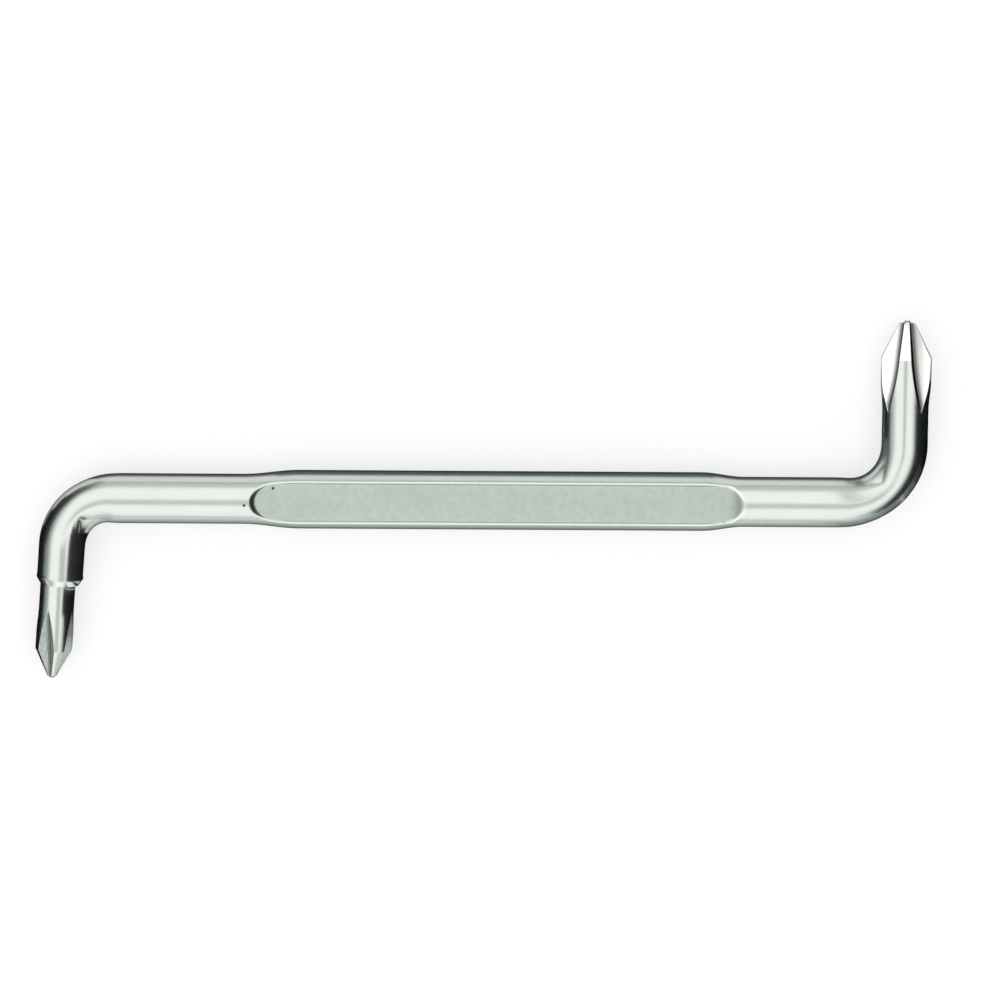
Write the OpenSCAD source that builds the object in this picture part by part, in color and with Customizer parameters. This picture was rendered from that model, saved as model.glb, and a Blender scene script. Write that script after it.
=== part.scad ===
// Offset screwdriver for cross-recessed screws, drop forged from one round steel bar.
// The bar is swelled and pressed flat in the middle for a grip, turned through a
// right angle the opposite way at each end, and ground to a size 1 and a size 2 point.
// X runs along the bar, Y along the two arms, Z up from the surface the tool lies on.
// The origin is under the middle of the tool. Lengths are in millimetres.

/* [Tool] */
// Length over the outer wings of the two points
overall_l = 125; // [115:1:145]
// Diameter of the round bar beside the grip
bar_d = 7; // [6.8:0.1:7.6]
// Diameter of the bar where the bend has drawn it thinner
bend_d = 6.6; // [6.5:0.02:6.9]
// Diameter of each arm below its bend
arm_d = 6.42; // [6.2:0.02:6.6]
// Length of the taper from the bar to the bend
draw_l = 1.5; // [1:0.5:5]

/* [Grip] */
// Diameter of the swelled grip
grip_d = 8.2; // [7.8:0.1:9]
// Length of the grip with its two tapers
grip_l = 70; // [56:1:80]
// How far the grip's middle lies from the tool's middle, towards the size 2 point
grip_shift = 1.75; // [0:0.25:4]
// Length of the grip's taper on the size 1 side
taper_1_l = 8; // [5:0.5:12]
// Length of the grip's taper on the size 2 side
taper_2_l = 6; // [5:0.5:12]

/* [Pressed panels] */
// Thickness of the grip between its two panel floors
panel_t = 5.2; // [4.8:0.1:5.6]
// Width of each panel floor
panel_w = 4.9; // [4:0.1:5.4]
// How far inside the grip's size 1 end the panels begin
panel_in_1 = 0.6; // [-1:0.1:3]
// How far inside the grip's size 2 end the panels stop
panel_in_2 = 0.2; // [-1:0.1:3]
// Length of the rounded end of each panel floor
panel_round_l = 3.4; // [2.5:0.1:5]
// Slope of the panels' long walls
wall_angle = 45; // [40:1:60]
// Slope of the wall round the rounded end
end_angle = 56; // [45:1:70]
// Slope of the ramp that ends each panel on the size 2 side
ramp_angle = 26; // [20:1:45]

/* [Size 1 arm and point] */
// Radius of this end's bend, on the bar's axis
bend_1_r = 7.25; // [6.5:0.05:9]
// Outward lean of this arm from square
lean_angle_1 = 4.4; // [0:0.1:5]
// Length of the arm from the end of its bend to the blade
arm_1_l = 5.5; // [3:0.1:12]
// Length of the turned blade, from the shoulder to the tip
blade_1_l = 13.5; // [12:0.1:15]
// Diameter of the turned neck
neck_1_d = 4.9; // [4.5:0.1:5.2]
// Diameter over the wings
wing_1_d = 5.16; // [4.9:0.02:5.4]
// How far the neck is turned off the arm's axis, away from the grip
neck_1_off = 0.2; // [0:0.05:0.3]
// Diameter across the flat end of the wings
tip_1_d = 1.27; // [1.1:0.01:1.4]
// Thickness of a wing at the tip
web_1 = 0.55; // [0.5:0.01:0.6]
// Draft of each wing's sides
draft_angle_1 = 7; // [6:0.25:8]
// Cone angle of the very end
nose_angle_1 = 138; // [130:1:150]
// Length of the flutes from the tip
flute_1_l = 10; // [8:0.5:11]
// Length of a flute's straight run before it curves out
flute_1_run = 4.5; // [3:0.5:6]
// Radius in the root of a flute
root_1_r = 0.15; // [0.1:0.05:0.25]
// Turn of the upper wing about the arm's axis, towards the grip
turn_angle_1 = 24; // [0:1:45]
// Length of the bevel on the arm's shoulder
bevel_l = 0.9; // [0.5:0.1:1.5]
// How far the rolled lip stands out round the shoulder
lip = 0.06; // [0:0.01:0.1]
// Length of that lip along the arm
lip_l = 0.5; // [0.3:0.1:1]

/* [Size 2 arm and point] */
// Radius of this end's bend, on the bar's axis
bend_2_r = 8.4; // [6.5:0.05:9]
// Outward lean of this arm from square
lean_angle_2 = 0; // [0:0.1:5]
// Length of the arm from the end of its bend to the point's own section
arm_2_l = 3.4; // [2:0.1:12]
// Length of the point's own section, from the arm to the tip
blade_2_l = 13.8; // [13.5:0.1:16]
// Diameter over the wings
wing_2_d = 7; // [6.8:0.02:7.1]
// Diameter across the flat end of the wings
tip_2_d = 2.29; // [2.1:0.01:2.4]
// Thickness of a wing at the tip
web_2 = 0.68; // [0.6:0.01:0.8]
// Draft of each wing's sides
draft_angle_2 = 5.75; // [5:0.25:7]
// Cone angle of the very end
nose_angle_2 = 140; // [130:1:150]
// Length of the flutes from the tip
flute_2_l = 12.6; // [11:0.2:13]
// Length of a flute's straight run before it curves out
flute_2_run = 5.5; // [4:0.5:7]
// Radius in the root of a flute
root_2_r = 0.3; // [0.1:0.05:0.4]
// Turn of the upper wing about the arm's axis, towards the grip
turn_angle_2 = 8; // [0:1:45]

/* [Both points] */
// Slope of the wings' outer edges from the axis
edge_angle = 26.5; // [25:0.5:28]
// Angle of each flute between its two sides
flute_angle = 92; // [90:0.5:96]

/* [Hidden] */
$fn = 96;
// Height of the bar's axis over the surface: the tool lies on its bar and its wings
axis_z = max(bar_d, wing_2_d) / 2;
// Steps in each curved taper, in a panel's rounded end and in a flute's root
taper_steps = 14;
round_steps = 24;
root_steps = 6;
// Upright edge round the floor of a panel
panel_edge = 0.02;
// Overrun of every cut past the metal
over = 0.5;
// Two ends of the swelled grip
grip_x1 = grip_shift - grip_l / 2;
grip_x2 = grip_shift + grip_l / 2;
// Share of a flute's own length over which the shank widens to the wings
flare_share = 0.35;

// Everything about one end in one list, and the places of its values in that list
BEND_R = 0;
LEAN = 1;
ARM_L = 2;
NECK_OFF = 3;
SHANK_D = 4;
BLADE_L = 5;
WING_D = 6;
TIP_D = 7;
NOSE = 8;
WEB = 9;
DRAFT = 10;
FLUTE_L = 11;
FLUTE_RUN = 12;
ROOT_R = 13;
TURN = 14;
end_1 = [
    bend_1_r, lean_angle_1, arm_1_l, neck_1_off, neck_1_d, blade_1_l, wing_1_d, tip_1_d,
    nose_angle_1, web_1, draft_angle_1, flute_1_l, flute_1_run, root_1_r, turn_angle_1
];
end_2 = [
    bend_2_r, lean_angle_2, arm_2_l, 0, arm_d, blade_2_l, wing_2_d, tip_2_d,
    nose_angle_2, web_2, draft_angle_2, flute_2_l, flute_2_run, root_2_r, turn_angle_2
];

// Length of the blunt cone at the very end of a point
function nose_l(e) = e[TIP_D] / 2 / tan(e[NOSE] / 2);

// Distance from the tip to the corner where the wings reach their full width
function corner_h(e) = nose_l(e) + (e[WING_D] - e[TIP_D]) / 2 / tan(edge_angle);

// Length of the arm's axis from the end of its bend to the tip
function arm_run(e) = e[ARM_L] + e[BLADE_L];

// Place of the bend's centre along the bar, which puts the outer wing on the overall length
function bend_x(e) =
    -overall_l / 2
    + (e[WING_D] / 2 + e[NECK_OFF]) * cos(e[LEAN])
    + (arm_run(e) - corner_h(e)) * sin(e[LEAN])
    + e[BEND_R] * cos(e[LEAN]);

// Points of a taper that leaves and arrives level, as [radius, place]
function s_curve(from_x, to_x, from_r, to_r) = [
    for (i = [0 : taper_steps])
        let (share = i / taper_steps)
        [from_r + (to_r - from_r) * (1 - cos(180 * share)) / 2,
         from_x + (to_x - from_x) * share]
];

// Places its children on the arm: +Z towards the tip, +X towards the grip, +Y up
module on_arm(e) {
    translate([
        bend_x(e) - e[BEND_R] * cos(e[LEAN]),
        -e[BEND_R] * (1 - sin(e[LEAN])),
        axis_z
    ])
        rotate([90, 0, -e[LEAN]])
            children();
}

// Places its children on the point: the tip at the origin, +Z back along the shank,
// and the upper wing turned towards the grip
module on_point(e) {
    on_arm(e)
        translate([-e[NECK_OFF], 0, arm_run(e)])
            rotate([180, 0, -e[TURN]])
                children();
}

// A right-angled bend less the arm's lean, starting at the end of the bar
module bend(e) {
    translate([bend_x(e), -e[BEND_R], axis_z])
        rotate([0, 0, 90])
            rotate_extrude(angle = 90 - e[LEAN])
                translate([e[BEND_R], 0])
                    circle(d = bend_d);
}

// Outline of a V with a rounded root, for a flute swept at the given radius
function flute_outline(sweep_r, depth, root_r) =
    let (half = flute_angle / 2,
         root_x = root_r / sin(half) - root_r)
    concat(
        [[sweep_r - depth, -depth * tan(half)]],
        [for (i = [0 : root_steps])
            let (a = (90 - half) * (2 * i / root_steps - 1))
            [sweep_r - root_x - root_r + root_r * cos(a), root_r * sin(a)]],
        [[sweep_r - depth, depth * tan(half)]]
    );

// One flute: straight from the tip, then curving out of the shank at its full length
module flute(e) {
    shank_r = e[SHANK_D] / 2;
    slope = sqrt(2) * tan(e[DRAFT]);
    tilt = atan(slope);
    run = e[FLUTE_RUN];
    rest = e[FLUTE_L] - run;
    root_u = e[WEB] / sqrt(2) + slope * run;
    // Radius that brings the root out to the shank's surface at the flute's length
    sweep_r = rest * rest / 2 / (shank_r - root_u - slope * rest);
    sweep_angle = asin(min(1, rest / sweep_r)) + asin(over / sweep_r);
    outline = flute_outline(sweep_r, shank_r + over, e[ROOT_R]);
    translate([root_u + sweep_r * cos(tilt), 0, run - sweep_r * sin(tilt)])
        rotate([90, 0, 180])
            rotate([0, 0, tilt]) {
                rotate_extrude(angle = sweep_angle)
                    polygon(outline);
                rotate([90, 0, 0])
                    linear_extrude(run / cos(tilt) + over)
                        polygon(outline);
            }
}

// A cross point on its shank, tip at the origin
module cross_point(e) {
    shank_r = e[SHANK_D] / 2;
    wing_r = e[WING_D] / 2;
    difference() {
        rotate_extrude()
            polygon([
                [0, 0],
                [e[TIP_D] / 2, nose_l(e)],
                [wing_r, corner_h(e)],
                [wing_r, e[FLUTE_L] * (1 - flare_share)],
                [shank_r, e[FLUTE_L]],
                [shank_r, e[BLADE_L]],
                [0, e[BLADE_L]]
            ]);
        for (flute_turn = [45 : 90 : 315])
            rotate([0, 0, flute_turn])
                flute(e);
    }
}

// The rounded end of a panel floor: half an ellipse, and a little of the straight sides
function round_outline(half_w, round_l) = concat(
    [[over, half_w]],
    [
        for (i = [0 : round_steps])
            let (a = 90 + 180 * i / round_steps)
            [round_l * cos(a), half_w * sin(a)]
    ],
    [[over, -half_w]]
);

// One pressed panel, cut from above: a flat floor inside walls that slope outwards
module panel_cut() {
    // Height of the walls at the bar's own diameter, where both ends come out
    bar_rise = (bar_d - panel_t) / 2;
    rise = (grip_d - panel_t) / 2 + over;
    half_w = panel_w / 2;
    spread = rise / tan(wall_angle);
    ramp = rise / tan(ramp_angle);
    round_x = grip_x1 + panel_in_1 + bar_rise / tan(end_angle) + panel_round_l;
    floor_l = grip_x2 - panel_in_2 - bar_rise / tan(ramp_angle) - round_x;
    translate([round_x, 0, axis_z + panel_t / 2]) {
        intersection() {
            rotate([90, 0, 90])
                linear_extrude(floor_l + ramp)
                    polygon([
                        [-half_w, 0],
                        [half_w, 0],
                        [half_w + spread, rise],
                        [-half_w - spread, rise]
                    ]);
            rotate([90, 0, 0])
                linear_extrude(2 * grip_d, center = true)
                    polygon([
                        [0, 0],
                        [floor_l, 0],
                        [floor_l + ramp, rise],
                        [0, rise]
                    ]);
        }
        hull() {
            linear_extrude(panel_edge)
                polygon(round_outline(half_w, panel_round_l));
            translate([0, 0, rise])
                linear_extrude(panel_edge)
                    polygon(round_outline(
                        half_w + spread,
                        panel_round_l + rise / tan(end_angle)
                    ));
        }
    }
}

module grip() {
    bar_x1 = bend_x(end_1);
    bar_x2 = -bend_x(end_2);
    color("silver")
        difference() {
            translate([0, 0, axis_z])
                rotate([0, 90, 0])
                    rotate_extrude()
                        polygon(concat(
                            [
                                [0, bar_x1],
                                [bend_d / 2, bar_x1],
                                [bar_d / 2, bar_x1 + draw_l]
                            ],
                            s_curve(grip_x1, grip_x1 + taper_1_l, bar_d / 2, grip_d / 2),
                            s_curve(grip_x2 - taper_2_l, grip_x2, grip_d / 2, bar_d / 2),
                            [
                                [bar_d / 2, bar_x2 - draw_l],
                                [bend_d / 2, bar_x2],
                                [0, bar_x2]
                            ]
                        ));
            panel_cut();
            translate([0, 0, 2 * axis_z])
                mirror([0, 0, 1])
                    panel_cut();
        }
}

module ph1_bend() {
    color("silver")
        bend(end_1);
}

module ph1_arm() {
    edge = arm_1_l - bevel_l;
    ledge_r = neck_1_d / 2 + neck_1_off + lip;
    color("silver")
        on_arm(end_1)
            rotate_extrude()
                polygon([
                    [0, 0],
                    [bend_d / 2, 0],
                    [arm_d / 2, edge - lip_l],
                    [arm_d / 2 + lip, edge],
                    [ledge_r, arm_1_l],
                    [0, arm_1_l]
                ]);
}

module ph1_blade() {
    color("lightgray")
        on_point(end_1)
            cross_point(end_1);
}

module ph2_bend() {
    color("silver")
        rotate([0, 0, 180])
            bend(end_2);
}

module ph2_arm() {
    color("silver")
        rotate([0, 0, 180])
            on_arm(end_2)
                cylinder(h = arm_2_l, d1 = bend_d, d2 = arm_d);
}

module ph2_blade() {
    color("lightgray")
        rotate([0, 0, 180])
            on_point(end_2)
                cross_point(end_2);
}

grip();
ph1_bend();
ph1_arm();
ph1_blade();
ph2_bend();
ph2_arm();
ph2_blade();
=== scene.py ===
"""Looks of the offset screwdriver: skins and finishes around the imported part, and the studio.

All sizes are in millimetres and degrees. Points become metres where a mesh is made.
"""

import logging
from dataclasses import dataclass, field
from enum import Enum
from typing import Any, Callable

import bpy
import numpy as np
from mathutils import Matrix, Vector


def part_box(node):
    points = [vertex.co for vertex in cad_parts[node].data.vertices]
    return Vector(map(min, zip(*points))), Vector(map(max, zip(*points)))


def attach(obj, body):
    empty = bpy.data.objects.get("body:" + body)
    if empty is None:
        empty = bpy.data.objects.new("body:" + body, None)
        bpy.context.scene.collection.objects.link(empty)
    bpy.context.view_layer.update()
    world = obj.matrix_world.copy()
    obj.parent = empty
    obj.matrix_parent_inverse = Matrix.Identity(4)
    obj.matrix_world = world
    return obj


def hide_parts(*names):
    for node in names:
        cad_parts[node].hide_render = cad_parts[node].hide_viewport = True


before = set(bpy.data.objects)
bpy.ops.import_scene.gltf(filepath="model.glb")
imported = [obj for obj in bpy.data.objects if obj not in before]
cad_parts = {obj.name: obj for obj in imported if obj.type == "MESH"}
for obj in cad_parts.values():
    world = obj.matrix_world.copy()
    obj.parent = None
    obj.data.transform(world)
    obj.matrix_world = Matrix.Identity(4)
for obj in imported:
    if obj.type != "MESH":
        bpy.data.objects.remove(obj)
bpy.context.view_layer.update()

Array = np.ndarray
Pair = tuple[float, float]
Point = tuple[float, float, float]
Colour = tuple[float, float, float]

MM = 0.001
WELD = 1e-5
RING_SEGMENTS = 120
# Shares that the finishes read. The panel and the ground flutes are real finishes; the second
# share is painted shade, and the rim share paints worn rims lighter as a highlight.
SKIN_SHARES = ("panel", "painted_shade", "rim")
POINT_SHARES = ("ground", "painted_shade")
BODY = "root"
LOG = logging.getLogger("offset_screwdriver")

# Brightness of the studio's cards and sky, and the middles of the bends that cards lie round.
SHADE_BLACK: Colour = (0.005, 0.006, 0.006)
SHADE_SKY: Colour = (0.75, 0.82, 0.77)
BEND_1: Pair = (-51.4, -7.3)
BEND_2: Pair = (50.6, 8.4)


class End(Enum):
    """The two ends of the tool, with the half turn that puts each one in place."""

    SIZE_1 = 1.0
    SIZE_2 = -1.0

    def place(self, points: Array) -> Array:
        """Turns points made for the size 1 end to this end.

        Args:
            points: Points or directions, with X, Y and Z last.

        Returns:
            The points, turned half round the upright axis at the size 2 end.
        """
        return points * np.array([self.value, self.value, 1.0])

    def matrix(self) -> Matrix:
        """The same half turn as a matrix."""
        return Matrix.Diagonal((self.value, self.value, 1.0, 1.0))


class Slot(Enum):
    """The record's material slots."""

    BODY = "satin_chrome"
    POINT = "ground_point"


def ease(value: Array) -> Array:
    """A level-to-level curve from 0 to 1.

    Args:
        value: Shares of the way, cut off below 0 and above 1.

    Returns:
        The eased shares.
    """
    return (1 - np.cos(np.pi * np.clip(value, 0, 1))) / 2


def soft_min(first: Array, second: Array, width: Array | float) -> Array:
    """The lower of two heights, with the corner between them rounded.

    Args:
        first: One set of heights.
        second: The other set.
        width: Difference of height at which the rounding begins.

    Returns:
        The rounded lower heights.
    """
    near = np.maximum(width - np.abs(first - second), 0) / width
    return np.minimum(first, second) - near * near * width / 4


def soft_max(first: Array, second: Array, width: Array | float) -> Array:
    """The higher of two heights, rounded in the same way."""
    return -soft_min(-first, -second, width)


def solve(rule: Callable[[Array], Array], low: Array, high: Array) -> Array:
    """Finds where a rising rule passes zero, by halving.

    Args:
        rule: A function of an array that rises through zero.
        low: Values below the answer.
        high: Values above it.

    Returns:
        The places of the zero.
    """
    for _ in range(40):
        middle = (low + high) / 2
        above = rule(middle) > 0
        high = np.where(above, middle, high)
        low = np.where(above, low, middle)
    return (low + high) / 2


def crowded(count: int, power: float = 2.0) -> Array:
    """Shares from 0 to 1 that crowd together towards 1.

    Args:
        count: How many steps there are.
        power: How strongly they crowd.

    Returns:
        The shares, one more than the steps.
    """
    return 1 - (1 - np.linspace(0, 1, count + 1)) ** power


def weld(points: Array) -> tuple[Array, Array]:
    """Finds the points that share a place.

    Args:
        points: Points, some of them double.

    Returns:
        The first point at each place, and each point's place.
    """
    keys = np.round(points / WELD).astype(np.int64)
    _, first, merged = np.unique(keys, axis=0, return_index=True, return_inverse=True)
    return first, merged.reshape(-1)


def lay_shares(mesh: bpy.types.Mesh, labels: tuple[str, ...], shares: Array) -> None:
    """Writes shares to a mesh as the attributes that the finishes read.

    Args:
        mesh: The mesh.
        labels: The attributes' names.
        shares: A row for each point, with a value for each name.
    """
    for label, values in zip(labels, shares.T):
        layer = mesh.attributes.new(label, "FLOAT", "POINT")
        layer.data.foreach_set("value", values.astype(np.float32))


@dataclass
class Skin:
    """Collects patches of points with their own normals and welds them into one closed mesh."""

    points: list[Array] = field(default_factory=list)
    normals: list[Array] = field(default_factory=list)
    shares: list[Array] = field(default_factory=list)
    corners: list[Array] = field(default_factory=list)
    count: int = 0

    def add(
        self,
        points: Array,
        normals: Array,
        shares: Array | None = None,
        ring: bool = False,
    ) -> None:
        """Adds a patch of rows and columns.

        Args:
            points: Rows of columns of points.
            normals: The outward normals at the points.
            shares: How much each point is pressed panel, painted shade, and worn rim painted
                lighter as a highlight.
            ring: Whether the last column joins the first.
        """
        rows, columns = points.shape[:2]
        index = np.arange(rows * columns).reshape(rows, columns) + self.count
        if ring:
            index = np.concatenate([index, index[:, :1]], axis=1)
        quads = np.stack(
            [index[:-1, :-1], index[:-1, 1:], index[1:, 1:], index[1:, :-1]], axis=-1
        )
        self.corners.append(quads.reshape(-1, 4))
        self.points.append(points.reshape(-1, 3))
        self.normals.append(normals.reshape(-1, 3))
        if shares is None:
            shares = np.zeros((rows, columns, len(SKIN_SHARES)))
        self.shares.append(shares.reshape(-1, len(SKIN_SHARES)))
        self.count += rows * columns

    def cap(self, rim: Array, normal: Array) -> None:
        """Closes a ring of points with a flat fan.

        Args:
            rim: The points of the ring.
            normal: The way that the cap faces.
        """
        centre = np.broadcast_to(rim.mean(axis=0), rim.shape)
        points = np.stack([rim, centre])
        self.add(points, np.broadcast_to(normal, points.shape), ring=True)

    def mesh(self, name: str) -> bpy.types.Mesh:
        """Welds the patches.

        Args:
            name: The mesh's name.

        Returns:
            The closed mesh, in metres, with its smooth normals set.
        """
        points = np.concatenate(self.points)
        normals = np.concatenate(self.normals)
        normals = normals / np.linalg.norm(normals, axis=1, keepdims=True)
        first, merged = weld(points)
        faces, loops = [], []
        for corners in np.concatenate(self.corners):
            kept = [c for i, c in enumerate(corners) if merged[c] != merged[corners[i - 1]]]
            if len(kept) < 3:
                continue
            a, b, c = points[kept[0]], points[kept[1]], points[kept[2]]
            if np.dot(np.cross(b - a, c - a), normals[kept].sum(axis=0)) < 0:
                kept.reverse()
            faces.append([int(merged[c]) for c in kept])
            loops.extend(kept)
        mesh = bpy.data.meshes.new(name)
        mesh.from_pydata((points[first] * MM).tolist(), [], faces)
        mesh.polygons.foreach_set("use_smooth", [True] * len(mesh.polygons))
        lay_shares(mesh, SKIN_SHARES, np.concatenate(self.shares)[first])
        mesh.normals_split_custom_set(normals[loops].tolist())
        mesh.update()
        return mesh


def dressed(
    name: str, mesh: bpy.types.Mesh, material: bpy.types.Material, slot: Slot, *nodes: str
) -> bpy.types.Object:
    """Makes a piece of the object from a finished mesh.

    Args:
        name: The piece's name.
        mesh: Its mesh, in place.
        material: Its finish.
        slot: The record's slot that the finish belongs to. It is not used.
        *nodes: The CAD nodes that it stands for.

    Returns:
        The piece, riding on the body.
    """
    piece = bpy.data.objects.new(name, mesh)
    bpy.context.scene.collection.objects.link(piece)
    mesh.materials.clear()
    mesh.materials.append(material)
    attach(piece, BODY)
    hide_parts(*nodes)
    LOG.info("%s: %d faces, in the place of %s", name, len(mesh.polygons), ", ".join(nodes))
    return piece


class Wire:
    """A value socket. An operator used on it adds the Math node that works it out."""

    def __init__(self, desk: "NodeDesk", socket: bpy.types.NodeSocket) -> None:
        """Holds a socket of one node tree.

        Args:
            desk: The tree's desk.
            socket: The output socket.
        """
        self.desk = desk
        self.socket = socket

    def _math(self, operation: str, *values: Any) -> "Wire":
        """Adds one Math node.

        Args:
            operation: The node's operation.
            *values: Numbers or wires, in order.

        Returns:
            The node's result.
        """
        node = self.desk.node("ShaderNodeMath", {"operation": operation}, dict(enumerate(values)))
        return Wire(self.desk, node.outputs[0])

    def __add__(self, other: Any) -> "Wire":
        """This plus the other."""
        return self._math("ADD", self, other)

    def __radd__(self, other: Any) -> "Wire":
        """The other plus this."""
        return self._math("ADD", other, self)

    def __sub__(self, other: Any) -> "Wire":
        """This less the other."""
        return self._math("SUBTRACT", self, other)

    def __rsub__(self, other: Any) -> "Wire":
        """The other less this."""
        return self._math("SUBTRACT", other, self)

    def __mul__(self, other: Any) -> "Wire":
        """This times the other."""
        return self._math("MULTIPLY", self, other)

    def __rmul__(self, other: Any) -> "Wire":
        """The other times this."""
        return self._math("MULTIPLY", other, self)

    def __truediv__(self, other: Any) -> "Wire":
        """This over the other."""
        return self._math("DIVIDE", self, other)

    def __rtruediv__(self, other: Any) -> "Wire":
        """The other over this."""
        return self._math("DIVIDE", other, self)

    def __gt__(self, other: Any) -> "Wire":
        """1 where this is greater than the other, and 0 elsewhere."""
        return self._math("GREATER_THAN", self, other)

    def __lt__(self, other: Any) -> "Wire":
        """1 where this is less than the other, and 0 elsewhere."""
        return self._math("LESS_THAN", self, other)

    def between(self, low: float, high: float) -> "Wire":
        """A smooth step from 0 at the low value to 1 at the high one.

        Args:
            low: Where the step begins.
            high: Where it ends, which may be below the beginning.

        Returns:
            The step.
        """
        node = self.desk.node(
            "ShaderNodeMapRange",
            {"interpolation_type": "SMOOTHSTEP"},
            {"Value": self, "From Min": low, "From Max": high},
        )
        return Wire(self.desk, node.outputs[0])


class NodeDesk:
    """Adds nodes to one tree."""

    def __init__(self, tree: bpy.types.NodeTree) -> None:
        """Clears the tree to start from nothing."""
        self.tree = tree
        self.tree.nodes.clear()

    def node(self, kind: str, settings: dict[str, Any], inputs: dict[Any, Any]) -> bpy.types.Node:
        """Adds one node.

        Args:
            kind: The node's type.
            settings: The values of its own settings, which are set first.
            inputs: A value, a socket or a wire for each named or numbered input.

        Returns:
            The node.
        """
        node = self.tree.nodes.new(kind)
        for name, value in settings.items():
            setattr(node, name, value)
        for key, value in inputs.items():
            source = value.socket if isinstance(value, Wire) else value
            if isinstance(source, bpy.types.NodeSocket):
                self.tree.links.new(source, node.inputs[key])
            else:
                node.inputs[key].default_value = source
        return node

    def wire(
        self, kind: str, settings: dict[str, Any], inputs: dict[Any, Any], output: Any = 0
    ) -> Wire:
        """Adds one node and takes one of its values.

        Args:
            kind: The node's type.
            settings: The values of its own settings.
            inputs: What its inputs get.
            output: The name or number of the output.

        Returns:
            The output as a wire.
        """
        return Wire(self, self.node(kind, settings, inputs).outputs[output])

    def share(self, label: str) -> Wire:
        """Reads one of the mesh's attributes, which is zero where the mesh hasn't got it."""
        return self.wire("ShaderNodeAttribute", {"attribute_name": label}, {}, "Fac")

    def scaled(self, place: Any, factors: Point) -> Any:
        """Stretches coordinates.

        Args:
            place: The coordinates' socket.
            factors: What X, Y and Z are multiplied by.

        Returns:
            The socket of the stretched coordinates.
        """
        settings = {"operation": "MULTIPLY"}
        return self.node("ShaderNodeVectorMath", settings, {0: place, 1: factors}).outputs[0]

    def noise(self, place: Any, size: float, detail: float = 2.0) -> Wire:
        """A noise pattern.

        Args:
            place: The coordinates' socket.
            size: The width of one blotch.
            detail: How many finer layers it has.

        Returns:
            The pattern, from 0 to 1.
        """
        inputs = {"Vector": place, "Scale": 1 / (size * MM), "Detail": detail}
        return self.wire("ShaderNodeTexNoise", {}, inputs)

    def blend(self, share: Wire, under: Any, over: Colour) -> Any:
        """Lays one colour over another.

        Args:
            share: How much of the upper colour shows.
            under: The lower colour's socket, or its value.
            over: The upper colour.

        Returns:
            The socket of the blended colour.
        """
        inputs = {"Factor": share, "A": under, "B": (*over, 1.0)}
        return self.node("ShaderNodeMix", {"data_type": "RGBA"}, inputs).outputs["Result"]

    def bump(self, height: Wire, depth: float, under: Any = None) -> Any:
        """Raises a pattern on a surface.

        Args:
            height: The pattern.
            depth: How high it stands.
            under: The socket of the coarser or finer bumps that it lies on, if any.

        Returns:
            The socket of the bent normals.
        """
        inputs = {"Strength": 1.0, "Distance": depth * MM, "Height": height}
        if under is not None:
            inputs["Normal"] = under
        return self.node("ShaderNodeBump", {}, inputs).outputs[0]


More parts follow.
